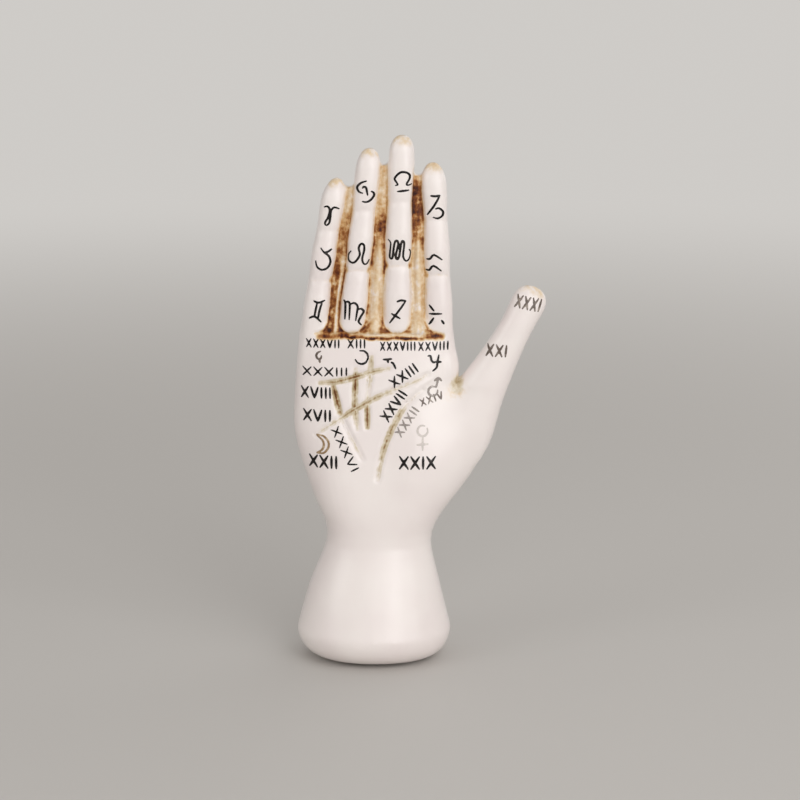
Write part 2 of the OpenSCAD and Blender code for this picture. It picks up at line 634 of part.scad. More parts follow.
// The hollow follows the outside at the wall's thickness, under a domed top
hollow_steps = 10;
module hollow() {
    dome = 9;
    lowest = pad_t + floor_t;
    spring = hollow_z - dome;
    heights = [for (k = [0 : hollow_steps]) mix(lowest, spring, k / hollow_steps)];
    sides = [for (z = heights) body_ring(z, hollow_sides, wall)];
    roof = [for (a = [20 : 20 : 80]) body_ring(spring + dome * sin(a), hollow_sides, wall, cos(a))];
    skin(concat(sides, roof));
}

// Sizes shared by the stopper and its seat in the casting's floor
flange_w = 3;
flange_d = pour_d + flange_w * 2;
flange_t = floor_t * 0.4;
bead = 1.2;

// Outline of the flat underside, drawn in by a margin
outline_sides = 48;
module foot_outline(margin) {
    half_w = foot_w / 2 - foot_round - margin;
    half_d = foot_d / 2 - foot_round - margin;
    polygon([for (k = [0 : outline_sides - 1])
        let (a = 360 * k / outline_sides)
        [half_w * cos(a), half_d * sin(a)]]);
}

module hand_casting() {
    color(white)
        difference() {
            union() {
                hand_body();
                thumb();
                for (f = fingers)
                    finger(f);
                for (f = [little : middle])
                    web(f);
            }
            hollow();
            for (k = [0 : len(LINES) - 1])
                line_groove(k);
            for (f = fingers, share = joint_places)
                joint_crease(f, share);
            finger_foot_crease();
            cylinder(h = pad_t + floor_t + wall, d = pour_d, $fn = 36);
            cylinder(h = pad_t + flange_t, d = flange_d, $fn = 36);
            linear_extrude(pad_t)
                foot_outline(pad_margin);
        }
}

// The soft stopper is pushed in from below until its bead springs out over the floor
module pour_hole_stopper() {
    stem = pour_d / 2 - fit;
    flange = flange_d / 2 - fit;
    inside = floor_t + fit;
    color("#5b5350")
        translate([0, 0, pad_t])
            rotate_extrude($fn = 96)
                polygon([
                    [0, 0],
                    [flange, 0],
                    [flange, flange_t],
                    [stem, flange_t],
                    [stem, inside],
                    [stem + bead, inside + bead],
                    [stem - bead, inside + bead * 3],
                    [0, inside + bead * 3],
                ]);
}

module base_pad() {
    color("#3a2a22")
        linear_extrude(pad_t)
            foot_outline(pad_margin + fit);
}

hand_casting();
pour_hole_stopper();
base_pad();
for (s = SIGNS)
    zodiac_sign(s);
for (p = PLANETS)
    planet_sign(p);
for (l = LABELS)
    numeral_label(l);
for (k = [0 : len(LINES) - 1])
    line_fill(k);
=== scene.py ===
# Looks of the palmistry hand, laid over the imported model. Metres, +Z up, palm to -Y and thumb to +X.
import math
from collections import namedtuple

import bmesh
import bpy
import numpy as np
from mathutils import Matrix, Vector
from mathutils.bvhtree import BVHTree


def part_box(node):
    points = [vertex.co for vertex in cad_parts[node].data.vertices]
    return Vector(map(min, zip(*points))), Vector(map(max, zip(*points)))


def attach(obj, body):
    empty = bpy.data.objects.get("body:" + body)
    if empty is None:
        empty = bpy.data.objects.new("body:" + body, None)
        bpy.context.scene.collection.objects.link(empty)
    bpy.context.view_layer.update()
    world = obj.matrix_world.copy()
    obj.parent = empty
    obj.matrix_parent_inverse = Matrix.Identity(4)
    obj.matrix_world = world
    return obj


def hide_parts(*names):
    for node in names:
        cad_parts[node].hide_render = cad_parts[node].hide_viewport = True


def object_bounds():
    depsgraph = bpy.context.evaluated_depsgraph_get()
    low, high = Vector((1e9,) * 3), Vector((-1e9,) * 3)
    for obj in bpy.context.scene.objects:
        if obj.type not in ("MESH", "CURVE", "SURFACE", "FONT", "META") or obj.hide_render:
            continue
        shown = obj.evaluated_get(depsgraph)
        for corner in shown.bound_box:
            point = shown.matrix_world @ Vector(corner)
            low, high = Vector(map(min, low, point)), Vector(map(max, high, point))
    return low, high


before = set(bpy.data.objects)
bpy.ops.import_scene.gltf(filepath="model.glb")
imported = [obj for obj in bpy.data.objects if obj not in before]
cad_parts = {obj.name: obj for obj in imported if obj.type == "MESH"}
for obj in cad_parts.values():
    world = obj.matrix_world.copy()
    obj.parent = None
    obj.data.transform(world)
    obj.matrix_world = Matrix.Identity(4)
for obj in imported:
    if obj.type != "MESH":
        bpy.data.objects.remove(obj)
cad_low, cad_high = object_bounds()
scene = bpy.context.scene
scene.view_settings.view_transform = "Standard"
MM = 0.001

# Camera
# Stands a metre in front of the palm and looks down on it a little, with a long lens.
camera_tilt = math.radians(12)
camera_aim = Vector((11.24, 0, 112.25)) * MM
camera_data = bpy.data.cameras.new("camera")
camera_data.lens = 106.1
camera_data.sensor_width = 36
camera = bpy.data.objects.new("camera", camera_data)
camera.location = camera_aim + Vector((0, -math.cos(camera_tilt), math.sin(camera_tilt)))
camera.rotation_euler = (math.pi / 2 - camera_tilt, 0, 0)
scene.collection.objects.link(camera)
scene.camera = camera

# Studio floor
# A wide pale sheet of matt board under the hand. Far off it melts into the pale room behind.
room_shade = (0.62, 0.60, 0.575, 1)
floor_mesh = bpy.data.meshes.new("studio_floor")
bm = bmesh.new()
bmesh.ops.create_grid(bm, x_segments=1, y_segments=1, size=40)
bm.to_mesh(floor_mesh)
bm.free()
floor = bpy.data.objects.new("studio_floor", floor_mesh)
scene.collection.objects.link(floor)
board = bpy.data.materials.new("matt_board")
board.use_nodes = True
nodes, links = board.node_tree.nodes, board.node_tree.links
board_shader = nodes["Principled BSDF"]
board_shader.inputs["Base Color"].default_value = (0.58, 0.56, 0.535, 1)
board_shader.inputs["Roughness"].default_value = 0.7
far_shade = nodes.new("ShaderNodeEmission")
far_shade.inputs["Color"].default_value = room_shade
place = nodes.new("ShaderNodeTexCoord")
far_off = nodes.new("ShaderNodeVectorMath")
far_off.operation = "LENGTH"
links.new(place.outputs["Object"], far_off.inputs[0])
melt = nodes.new("ShaderNodeMapRange")
melt.interpolation_type = "SMOOTHSTEP"
melt.inputs["From Min"].default_value = 0.35
melt.inputs["From Max"].default_value = 1.6
links.new(far_off.outputs["Value"], melt.inputs["Value"])
ray = nodes.new("ShaderNodeLightPath")
seen_ray = nodes.new("ShaderNodeMath")
seen_ray.operation = "MAXIMUM"
links.new(ray.outputs["Is Camera Ray"], seen_ray.inputs[0])
links.new(ray.outputs["Is Glossy Ray"], seen_ray.inputs[1])
melt_seen = nodes.new("ShaderNodeMath")
melt_seen.operation = "MULTIPLY"
links.new(melt.outputs["Result"], melt_seen.inputs[0])
links.new(seen_ray.outputs[0], melt_seen.inputs[1])
laid = nodes.new("ShaderNodeMixShader")
links.new(melt_seen.outputs[0], laid.inputs["Fac"])
links.new(board_shader.outputs["BSDF"], laid.inputs[1])
links.new(far_shade.outputs["Emission"], laid.inputs[2])
links.new(laid.outputs["Shader"], nodes["Material Output"].inputs["Surface"])
floor_mesh.materials.append(board)

# Studio light
# A big soft lamp and a tall narrow one to the right of the camera, which streaks the glaze with light, weaker
# ones to the left, behind and above, and a pale room.
def soft_lamp(name, place, width, height, watts, aim=(0, 0, 0.12)):
    data = bpy.data.lights.new(name, "AREA")
    data.shape = "ELLIPSE"
    data.size = width
    data.size_y = height
    data.energy = watts
    lamp = bpy.data.objects.new(name, data)
    lamp.location = place
    lamp.rotation_euler = (Vector(aim) - Vector(place)).to_track_quat("-Z", "Y").to_euler()
    scene.collection.objects.link(lamp)


soft_lamp("main_lamp", (0.74, -1.3, 0.65), 2, 2, 12.8)
soft_lamp("tall_lamp", (0.6, -1.3, 0.5), 0.5, 1.8, 3.4)
soft_lamp("side_lamp", (-1.3, -0.9, 0.8), 1, 1, 3.4)
soft_lamp("back_lamp", (1.1, 1.3, 1), 2, 2, 5)
soft_lamp("top_lamp", (-0.2, 0.3, 1.9), 1.5, 1.5, 2)
room = bpy.data.worlds.new("pale_room")
room.use_nodes = True
nodes, links = room.node_tree.nodes, room.node_tree.links
nodes["Background"].inputs["Color"].default_value = (0.60, 0.58, 0.56, 1)
nodes["Background"].inputs["Strength"].default_value = 0.75
shown_room = nodes.new("ShaderNodeBackground")
shown_room.inputs["Color"].default_value = room_shade
ray = nodes.new("ShaderNodeLightPath")
shown = nodes.new("ShaderNodeMixShader")
links.new(ray.outputs["Is Camera Ray"], shown.inputs["Fac"])
links.new(nodes["Background"].outputs["Background"], shown.inputs[1])
links.new(shown_room.outputs["Background"], shown.inputs[2])
links.new(shown.outputs["Shader"], nodes["World Output"].inputs["Surface"])
scene.world = room

# Casting
# One hollow hand of slip-cast white earthenware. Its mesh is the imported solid's own skin, made even, with
# its seams softened as glaze does, and the finger feet, webs and nails pressed in as the mould has them.
def merged_copy(node):
    """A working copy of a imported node's mesh, with its split corners joined."""
    bm = bmesh.new()
    bm.from_mesh(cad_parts[node].data)
    bmesh.ops.remove_doubles(bm, verts=bm.verts, dist=1e-6)
    return bm


def even_skin(bm, name, spacing):
    """A new piece with an even skin round a working mesh, which is used up."""
    mesh = bpy.data.meshes.new(name)
    bm.to_mesh(mesh)
    bm.free()
    piece = bpy.data.objects.new(name, mesh)
    scene.collection.objects.link(piece)
    skin = piece.modifiers.new("even skin", "REMESH")
    skin.mode = "VOXEL"
    skin.voxel_size = spacing
    shaped = piece.evaluated_get(bpy.context.evaluated_depsgraph_get())
    piece.data = bpy.data.meshes.new_from_object(shaped)
    piece.modifiers.clear()
    piece.data.name = name
    return piece


def points_of(mesh):
    points = np.empty(len(mesh.vertices) * 3)
    mesh.vertices.foreach_get("co", points)
    return points.reshape(-1, 3)


def edges_of(mesh):
    edges = np.empty(len(mesh.edges) * 2, int)
    mesh.edges.foreach_get("vertices", edges)
    return edges.reshape(-1, 2)


def neighbour_mean(values, edges):
    """Each point's mean over the points that an edge joins it to."""
    a, b = edges[:, 0], edges[:, 1]
    count = np.bincount(edges.ravel(), minlength=len(values))
    total = [
        np.bincount(a, values[b, k], len(values)) + np.bincount(b, values[a, k], len(values))
        for k in range(values.shape[1])
    ]
    return np.stack(total, 1) / np.maximum(count, 1)[:, None]


def soften(mesh, passes, where=1.0, shares=(0.5, -0.52)):
    """Smooths a mesh. The second share pushes back out, so that the shape doesn't shrink."""
    points, edges = points_of(mesh), edges_of(mesh)
    where = np.broadcast_to(where, len(points))[:, None]
    for _ in range(passes):
        for share in shares:
            points += where * share * (neighbour_mean(points, edges) - points)
    mesh.vertices.foreach_set("co", points.ravel())
    mesh.update()


def ramp(values, start, end):
    """Rises smoothly from 0 to 1 as values go from start to end."""
    t = np.clip((values - start) / (end - start), 0, 1)
    return t * t * (3 - 2 * t)


def bump(values, middle, spread):
    """A soft bump that is 1 at its middle."""
    return np.exp(-(((values - middle) / spread) ** 2))


def normals_of(mesh):
    normals = np.empty(len(mesh.vertices) * 3)
    mesh.vertex_normals.foreach_get("vector", normals)
    return normals.reshape(-1, 3)


# The pour hole is closed with a plug for the even skin, so that only the outside is left.
plug_radius, plug_depth, plug_middle = 8.5 * MM, 2.4 * MM, 5.6 * MM
hand_spacing = 1.0 * MM
bm = merged_copy("hand_casting")
plug = bmesh.ops.create_cone(
    bm, cap_ends=True, segments=32, radius1=plug_radius, radius2=plug_radius, depth=plug_depth
)["verts"]
bmesh.ops.translate(bm, verts=plug, vec=(0, 0, plug_middle))
hand = even_skin(bm, "glazed_hand", hand_spacing)
bm = bmesh.new()
bm.from_mesh(hand.data)
outermost = max(bm.verts, key=lambda v: v.co.z)
seen, rim = {outermost}, [outermost]
while rim:
    rim = list({e.other_vert(v) for v in rim for e in v.link_edges} - seen)
    seen.update(rim)
bmesh.ops.delete(bm, geom=[v for v in bm.verts if v not in seen], context="VERTS")
bm.to_mesh(hand.data)
bm.free()
soften(hand.data, 10)

# Fingers: foot across, lean in degrees, bend of the tip, length and half width, in millimetres
Finger = namedtuple("Finger", "foot lean bend length half")
FingerPlace = namedtuple("FingerPlace", "along across outside side")
fingers = [
    Finger(-24.9, 6.2, 3.2, 65.4, 5.5),
    Finger(-9.3, 6.0, 0.2, 78.0, 5.7),
    Finger(9.9, 1.0, 0.8, 83.0, 6.0),
    Finger(27.7, -1.2, -1.4, 71.5, 5.8),
]
finger_foot = 142
pad_foot, pad_corner = 0.6, 5.3
low_joint, high_joint = 0.35, 0.67
girth_places = [0, 0.18, low_joint, 0.5, high_joint, 0.84, 1]
girth = [0.92, 1.02, 0.9, 0.98, 0.87, 0.95, 0.8]


def across_fingers(x, z):
    """How far each point lies along each finger, across it, outside its pad and beside the pad."""
    rows = []
    for foot, lean, bend, length, half in fingers:
        lean = math.radians(lean)
        along = (z - finger_foot) / math.cos(lean)
        middle = foot + along * math.sin(lean) + bend * (np.maximum(along, 0) / length) ** 2
        across = (x - middle) * math.cos(lean)
        side = np.abs(across) - half * np.interp(along / length, girth_places, girth) + pad_corner
        end = pad_foot - along + pad_corner
        outside = np.hypot(np.maximum(side, 0), np.maximum(end, 0)) + np.minimum(np.maximum(side, end), 0)
        rows.append(FingerPlace(along, across, outside - pad_corner, side - pad_corner))
    return rows


# Soft passages: the foot's rounded edge, the thumb's root and crotch, the back of the knuckles and the pads
root_x, root_z, root_run_x, root_run_z = 28, 74, 8, 42
notch_x, notch_z = 33.5, 117
x, y, z = points_of(hand.data).T / MM
foot_edge = ramp(z, 5, 9) * ramp(z, 40, 26)
along_root = (x - root_x) * root_run_x + (z - root_z) * root_run_z
along_root = np.clip(along_root / (root_run_x**2 + root_run_z**2), 0, 1)
from_root = np.hypot(x - root_x - root_run_x * along_root, z - root_z - root_run_z * along_root)
thumb_root = ramp(from_root, 15, 8) * ramp(z, 120.5, 117.5)
thumb_notch = ramp(np.hypot(x - notch_x, z - notch_z), 8, 4) * ramp(y, 1, -2)
knuckle_backs = ramp(y, -1, 1.5) * ramp(z, 118, 130) * ramp(z, 168, 154)
pads = np.max([ramp(row.outside, -0.8, -2.2) * ramp(row.along, 6, 10) for row in across_fingers(x, z)], 0)
pads *= ramp(y, -2, -4)
soften(hand.data, 60, np.clip(foot_edge + knuckle_backs + pads, 0, 1))
soften(hand.data, 150, thumb_root, (0.5,))
soften(hand.data, 40, thumb_notch, (0.5,))

# Finer mesh where the mould has detail: the palm, the fronts of the fingers and the nails.
palm_bottom, palm_side, nail_bottom, thumb_nail_side = 78 * MM, 40 * MM, 193 * MM, 56 * MM
bm = bmesh.new()
bm.from_mesh(hand.data)
detailed = set()
for face in bm.faces:
    middle, out = face.calc_center_median(), face.normal
    palm = out.y < -0.3 and middle.z > palm_bottom and middle.x < palm_side
    nail = out.y > 0.5 and (middle.z > nail_bottom or middle.x > thumb_nail_side)
    if palm or nail:
        detailed.update(face.edges)
bmesh.ops.subdivide_edges(bm, edges=list(detailed), cuts=1, use_grid_fill=True)
bm.to_mesh(hand.data)
bm.free()
soften(hand.data, 3)

# Where the points of the finer mesh lie, and which of them face the front
x, y, z = points_of(hand.data).T / MM
out = normals_of(hand.data)
rows = across_fingers(x, z)
outside_pads = np.min([row.outside for row in rows], 0)
front = ramp(y, -1.5, -3.5) * ramp(out[:, 1], 0.35, -0.1)
above_crease = ramp(z, finger_foot - 0.5, finger_foot + 1.5)

# Webs: how dark the stain is beside the left and right finger, and how far the pale rib between them stands
# out, at heights from the top down. Then the rib's place and width across the web, and how clean it was wiped
webs = [
    {
        "heights": [206, 198, 192, 186, 178, 168, 160, 152, 144, 140],
        "left": [0, 0.1, 0.3, 0.45, 0.65, 0.9, 0.9, 0.9, 0.95, 0.95],
        "right": [0, 0.35, 0.55, 0.7, 0.65, 0.7, 0.7, 0.6, 0.85, 0.85],
        "rib": [0, 0, 0, 0, 0, 0.5, 1, 1, 0.9, 0.3],
        "rib_place": 0.74,
        "rib_width": 0.16,
        "rib_wiped": 1,
    },
    {
        "heights": [214, 202, 197, 191, 186, 181, 176, 167, 158, 150, 145, 140],
        "left": [0, 0.15, 0.3, 0.35, 0.85, 0.8, 0.7, 0.6, 0.5, 0.7, 0.85, 0.9],
        "right": [0.2, 0.4, 0.55, 1, 1, 1, 1, 0.6, 0.1, 0.4, 0.9, 0.9],
        "rib": [0, 0, 0, 0.05, 0.1, 0.75, 0.9, 0.95, 1, 1, 0.8, 0.2],
        "rib_place": 0.55,
        "rib_width": 0.36,
        "rib_wiped": 0.35,
    },
    {
        "heights": [212, 206, 203, 196, 187, 182, 176, 165, 155, 147, 142, 140],
        "left": [0.1, 0.6, 0.95, 0.9, 1, 0.85, 0.35, 0.2, 0.15, 0.35, 0.8, 0.8],
        "right": [0.1, 0.5, 0.9, 0.9, 0.5, 1, 0.5, 0.3, 0.3, 0.5, 0.9, 0.9],
        "rib": [0, 0, 0, 0, 0.1, 0.4, 0.8, 1, 1, 1, 0.6, 0.2],
        "rib_place": 0.5,
        "rib_width": 0.36,
        "rib_wiped": 0.35,
    },
]
stain = np.zeros(len(x))
tan = np.zeros(len(x))
line = np.zeros(len(x))
lift = np.zeros(len(x))
for k, web in enumerate(webs):
    left, right = rows[k], rows[k + 1]
    between = (left.across > 0) & (right.across < 0)
    share = np.clip(left.side / np.maximum(left.side + right.side, 0.5), 0, 1)
    heights = web["heights"][::-1]
    dark_left, dark_right, rib = (np.interp(z, heights, web[side][::-1]) for side in ("left", "right", "rib"))
    rib = rib * bump(share, web["rib_place"], web["rib_width"])
    zone = between * front * ramp(z, heights[-1] + 1.5, heights[-1] - 2) * above_crease
    hollow = ramp(outside_pads, -0.5, 0.4)
    dark = dark_left * (1 - share) + dark_right * share
    stain = np.maximum(stain, zone * hollow * dark * (1 - 0.97 * rib))
    stain = np.maximum(stain, zone * bump(outside_pads, 0.35, 0.45) * np.minimum(1, 0.12 + 1.1 * dark))
    for row, finger in ((left, fingers[k]), (right, fingers[k + 1])):
        nick = bump(row.along - low_joint * finger.length, 0, 1.5)
        nick = nick * ramp(row.outside, -1.8, -0.4) * ramp(row.outside, 1, 0.2)
        stain = np.maximum(stain, 0.6 * zone * nick)
    tan = np.maximum(tan, zone * hollow * (1.15 - web["rib_wiped"] * rib))
    tan = np.maximum(tan, 0.5 * zone * ramp(outside_pads, -2.2, -0.2))
    lift += zone * (4.4 * web["rib_width"] * rib * hollow - 0.6 * bump(outside_pads, 0.5, 0.7))

# The crease along the finger feet: thick and brown at both ends, a thin dark line in between
below_feet = np.interp(x, [-24, -15, -9, -5, 1, 6, 11, 17, 30], [1.7, 1.4, 0.8, 0.8, 1.4, 1.4, 1.1, 1.5, 1.6])
crease_z = finger_foot - below_feet + 0.15 * np.sin(x * 0.83)
ends = np.maximum(ramp(x, -8, -13), ramp(x, 19, 22))
crease_run = front * ramp(x, -25, -21) * ramp(x, 31, 29)
crease = crease_run * bump(z, crease_z + 0.9 * ends, 0.75 + 0.65 * ends)
lift -= 0.6 * crease
stain = np.maximum(stain, crease * (1.15 - 0.4 * ends + 0.2 * np.sin(x * 0.52 + 1)))
tan = np.maximum(tan, crease_run * bump(z, crease_z + 1.0, 1.9) * 0.85)

# Joint creases across the fingers, painted shade on the fingertips, and the crotch of the thumb
for row, finger in zip(rows, fingers):
    for place, worn_in in ((low_joint, 0.35), (high_joint, 0.12)):
        bowed = row.along - place * finger.length + row.across**2 * 0.03
        joint = ramp(np.abs(row.across), finger.half, finger.half - 2) * front
        lift -= 0.18 * joint * bump(bowed, 0, 1.3)
        tan = np.maximum(tan, joint * bump(bowed, 0, 0.9) * worn_in)
    # Painted shade: a tan tint over the last few millimetres of each fingertip, where its top turns away from
    # the light
    tip_painted_shade = 0.75 * ramp(row.along, finger.length - 7, finger.length) * ramp(np.abs(row.across), 7, 5)
    tan = np.maximum(tan, tip_painted_shade)
crotch = ramp(y, 4, 0)
tan = np.maximum(tan, 0.8 * crotch * bump(x, 35, 4.4) * bump(z, 118.5, 4.8))
line = np.maximum(line, 0.6 * crotch * bump(x, 35.2, 2.6) * bump(z, 121, 3.2))

# Palm lines pressed into the clay. Each has its run, across or up, and its strength of colour along that run
run_across, run_up = 0, 2
palm_lines = {
    "heart_line_fill": (
        run_across,
        [-23, -19, -16, -9, -5, -1, 1, 7],
        [0.45, 0.55, 0.85, 0.95, 0.75, 0.8, 0.5, 0.35],
    ),
    "head_line_fill": (
        run_across,
        [-27, -25, -18, -13, -11, -6, -3, 8, 11, 24],
        [0.1, 0.2, 0.3, 0.45, 0.7, 0.65, 0.5, 0.42, 0.22, 0.3],
    ),
    "life_line_fill": (
        run_up,
        [78.5, 82, 86, 92, 96, 100, 105, 110, 112, 123],
        [0, 0.38, 0.45, 0.5, 0.8, 0.85, 0.75, 0.6, 0.15, 0.1],
    ),
    "fate_line_fill": (
        run_up,
        [101, 107, 111, 113, 118, 121, 124, 128, 133],
        [0.85, 0.95, 0.8, 0.3, 0.22, 0.3, 0.75, 0.42, 0.35],
    ),
    "sun_line_fill": (
        run_up,
        [100, 106, 109, 115, 120, 124, 127],
        [0.22, 0.35, 0.8, 0.8, 0.75, 0.85, 0.3],
    ),
    "health_line_fill": (
        run_up,
        [88, 95, 100, 103, 107, 109, 112, 118, 121],
        [0.18, 0.22, 0.2, 0.1, 0.25, 0.65, 0.85, 0.9, 0.7],
    ),
}
groove_reach, fill_half, groove_spread, colour_spread = 4, 0.25, 0.7, 0.35
for name, (run, places, strengths) in palm_lines.items():
    bm = merged_copy(name)
    tree = BVHTree.FromBMesh(bm)
    bm.free()
    low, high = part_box(name)
    near = (x > low.x / MM - groove_reach) & (x < high.x / MM + groove_reach) & (y < 0)
    near &= (z > low.z / MM - groove_reach) & (z < high.z / MM + groove_reach)
    for i in np.flatnonzero(near):
        beside = max(tree.find_nearest((x[i] * MM, y[i] * MM, z[i] * MM))[3] / MM - fill_half, 0)
        strength = np.interp((x[i], y[i], z[i])[run], places, strengths)
        lift[i] = min(lift[i], (-0.15 - 0.35 * strength) * math.exp(-((beside / groove_spread) ** 2)))
        line[i] = max(line[i], 0.65 * strength * math.exp(-((beside / colour_spread) ** 2)))

# The palm's edge stands out a little above the crotch of the thumb
lift += 1.5 * ramp(out[:, 0], 0.2, 0.7) * bump(z, 127, 7) * ramp(x, 28, 32) * ramp(x, 42, 38)

# The back: nails, each a plate with a fine groove round it, then knuckles and the sinews below them
thumb_turn = math.radians(26.2)
thumb_tip_x, thumb_tip_z = 68.4, 161
from_tip_x, from_tip_z = x - thumb_tip_x, z - thumb_tip_z
up_thumb = from_tip_x * math.sin(thumb_turn) + from_tip_z * math.cos(thumb_turn)
across_thumb = from_tip_x * math.cos(thumb_turn) - from_tip_z * math.sin(thumb_turn)
# Painted shade: a tan tint over the top of the thumb's tip, where it turns away from the light
tan = np.maximum(tan, 0.6 * ramp(up_thumb, -8, 1) * ramp(x, 50, 56))
nail_from_tip, nail_half_w, nail_half_l = 6.6, 3.4, 5.2
thumb_nail_from_tip, thumb_nail_half_w, thumb_nail_half_l = 8.5, 4.4, 6.2
nails = [
    (row.along, row.across, finger.length - nail_from_tip, nail_half_w, nail_half_l)
    for row, finger in zip(rows, fingers)
]
nails.append((up_thumb, across_thumb, -thumb_nail_from_tip, thumb_nail_half_w, thumb_nail_half_l))
back = ramp(out[:, 1], 0.1, 0.5)
for along, across, middle, half_w, half_l in nails:
    from_middle = np.hypot(across / half_w, (along - middle) / half_l)
    plate = back * ramp(from_middle, 1.7, 1.4)
    lift += plate * (0.12 * ramp(from_middle, 1, 0.8) - 0.35 * bump(from_middle, 1.04, 0.11))
for row, finger in zip(rows, fingers):
    lift += back * 1.2 * bump(row.along, 2, 6) * bump(row.across, 0, 4.5)
    sinew = back * 0.5 * ramp(row.along, -36, -18) * ramp(row.along, 4, -4)
    lift += sinew * bump(row.across * (1 + row.along / 120), 0, 2.6)
    lift += back * 0.35 * bump(row.along, finger.length * 0.52, 4) * bump(row.across, 0, 4)

pressed = np.clip((np.stack((x, y, z), 1) + out * lift[:, None]) * MM, cad_low, cad_high)
hand.data.vertices.foreach_set("co", pressed.ravel())
hand.data.update()
edges = edges_of(hand.data)
for name, values in (("stain", stain), ("tan", tan), ("line", line)):
    values = neighbour_mean(values[:, None], edges)[:, 0] * 0.5 + values * 0.5
    layer = hand.data.attributes.new(name, "FLOAT", "POINT")
    layer.data.foreach_set("value", values.astype(np.float32))
hand.data.polygons.foreach_set("use_smooth", [True] * len(hand.data.polygons))
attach(hand, "root")
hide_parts("hand_casting")

# Glaze
# Clear glossy glaze over cream-white clay. A brown stain was brushed into the webs, creases and palm lines
# and wiped off the high places before the glaze, so it is mottled, streaky and darkest in the hollows.
# The tops of the fingertips and of the thumb's tip carry painted shade in the same tan.
def shade_node(tree, kind, **values):
    """A new shader node with its settings."""
    node = tree.nodes.new(kind)
    for name, value in values.items():
        setattr(node, name, value)
    return node


def colour(r, g, b):
    """A colour written as screen values from 0 to 255."""
    lin = [c / 255 / 12.92 if c <= 10 else ((c / 255 + 0.055) / 1.055) ** 2.4 for c in (r, g, b)]
    return (*lin, 1)


def mixed(tree, share, first, second):
    """Mixes two colours, each a socket or a plain colour, by a share that is a socket."""
    mix = shade_node(tree, "ShaderNodeMix", data_type="RGBA")
    tree.links.new(share, mix.inputs["Factor"])
    for value, socket in ((first, mix.inputs[6]), (second, mix.inputs[7])):
        if isinstance(value, bpy.types.NodeSocket):
            tree.links.new(value, socket)
        else:
            socket.default_value = value
    return mix.outputs[2]


def worked(tree, operation, first, second):
    """One step of arithmetic on sockets or plain numbers."""
    step = shade_node(tree, "ShaderNodeMath", operation=operation)
    for value, socket in zip((first, second), step.inputs):
        if isinstance(value, bpy.types.NodeSocket):
            tree.links.new(value, socket)
        else:
            socket.default_value = value
    return step.outputs[0]


def stepped(tree, value, start, end):
    """Rises smoothly from 0 to 1 as a value goes from start to end."""
    step = shade_node(tree, "ShaderNodeMapRange", interpolation_type="SMOOTHSTEP")
    tree.links.new(value, step.inputs["Value"])
    step.inputs["From Min"].default_value = start
    step.inputs["From Max"].default_value = end
    return step.outputs["Result"]


def noise(tree, size, detail=3, stretch=(1, 1, 1)):
    """Noise whose spots are about size metres across, in the piece's own coordinates."""
    place = shade_node(tree, "ShaderNodeTexCoord")
    mapping = shade_node(tree, "ShaderNodeMapping")
    mapping.inputs["Scale"].default_value = stretch
    spots = shade_node(tree, "ShaderNodeTexNoise")
    spots.inputs["Scale"].default_value = 0.5 / size
    spots.inputs["Detail"].default_value = detail
    tree.links.new(place.outputs["Object"], mapping.inputs["Vector"])
    tree.links.new(mapping.outputs["Vector"], spots.inputs["Vector"])
    return spots.outputs["Fac"]


def painted(name):
    """A new material, its node tree and its shader."""
    material = bpy.data.materials.new(name)
    material.use_nodes = True
    return material, material.node_tree, material.node_tree.nodes["Principled BSDF"]


def banded(tree, value, bands):
    """A colour that runs through bands, each a place from 0 to 1 and a colour."""
    shades = shade_node(tree, "ShaderNodeValToRGB")
    while len(shades.color_ramp.elements) < len(bands):
        shades.color_ramp.elements.new(1)
    for element, (place, shade) in zip(shades.color_ramp.elements, bands):
        element.position = place
        element.color = shade
    tree.links.new(value, shades.inputs["Fac"])
    return shades.outputs["Color"]


# Brushed stain and painted shade, shared by the glaze and the palm lines: brown in the hollows, tan where the
# stain was wiped thin, and a painted tan shade on the tops of the fingertips and the thumb's tip
stain_and_shade = bpy.data.node_groups.new("stain_and_painted_shade", "ShaderNodeTree")
stain_and_shade.interface.new_socket("Colour", in_out="OUTPUT", socket_type="NodeSocketColor")
stain_and_shade.interface.new_socket("Roughness", in_out="OUTPUT", socket_type="NodeSocketFloat")
stain_and_shade.interface.new_socket("Coat", in_out="OUTPUT", socket_type="NodeSocketFloat")
made = stain_and_shade.nodes.new("NodeGroupOutput")
mottle = worked(stain_and_shade, "SUBTRACT", noise(stain_and_shade, 0.8 * MM, 5), 0.5)
streaks = worked(stain_and_shade, "SUBTRACT", noise(stain_and_shade, 1.2 * MM, 3, (1, 1, 0.2)), 0.5)
patches = worked(stain_and_shade, "SUBTRACT", noise(stain_and_shade, 3 * MM, 2), 0.5)
uneven = worked(stain_and_shade, "MULTIPLY", mottle, 1.6)
uneven = worked(stain_and_shade, "ADD", uneven, worked(stain_and_shade, "MULTIPLY", streaks, 1.7))
uneven = worked(stain_and_shade, "ADD", uneven, worked(stain_and_shade, "MULTIPLY", patches, 1.6))
uneven = worked(stain_and_shade, "ADD", uneven, 1)
depth = 0.0
for layer, full in (("stain", 0.82), ("tan", 0.26), ("line", 0.66)):
    amount = shade_node(stain_and_shade, "ShaderNodeAttribute", attribute_name=layer).outputs["Fac"]
    depth = worked(stain_and_shade, "MAXIMUM", depth, worked(stain_and_shade, "MULTIPLY", amount, full))
on_line = stepped(stain_and_shade, amount, 0.05, 0.2)
depth = worked(stain_and_shade, "MULTIPLY", depth, uneven)
clouds = noise(stain_and_shade, 14 * MM, 2)
clay = mixed(stain_and_shade, stepped(stain_and_shade, clouds, 0.3, 0.7), colour(246, 238, 234), colour(241, 231, 228))
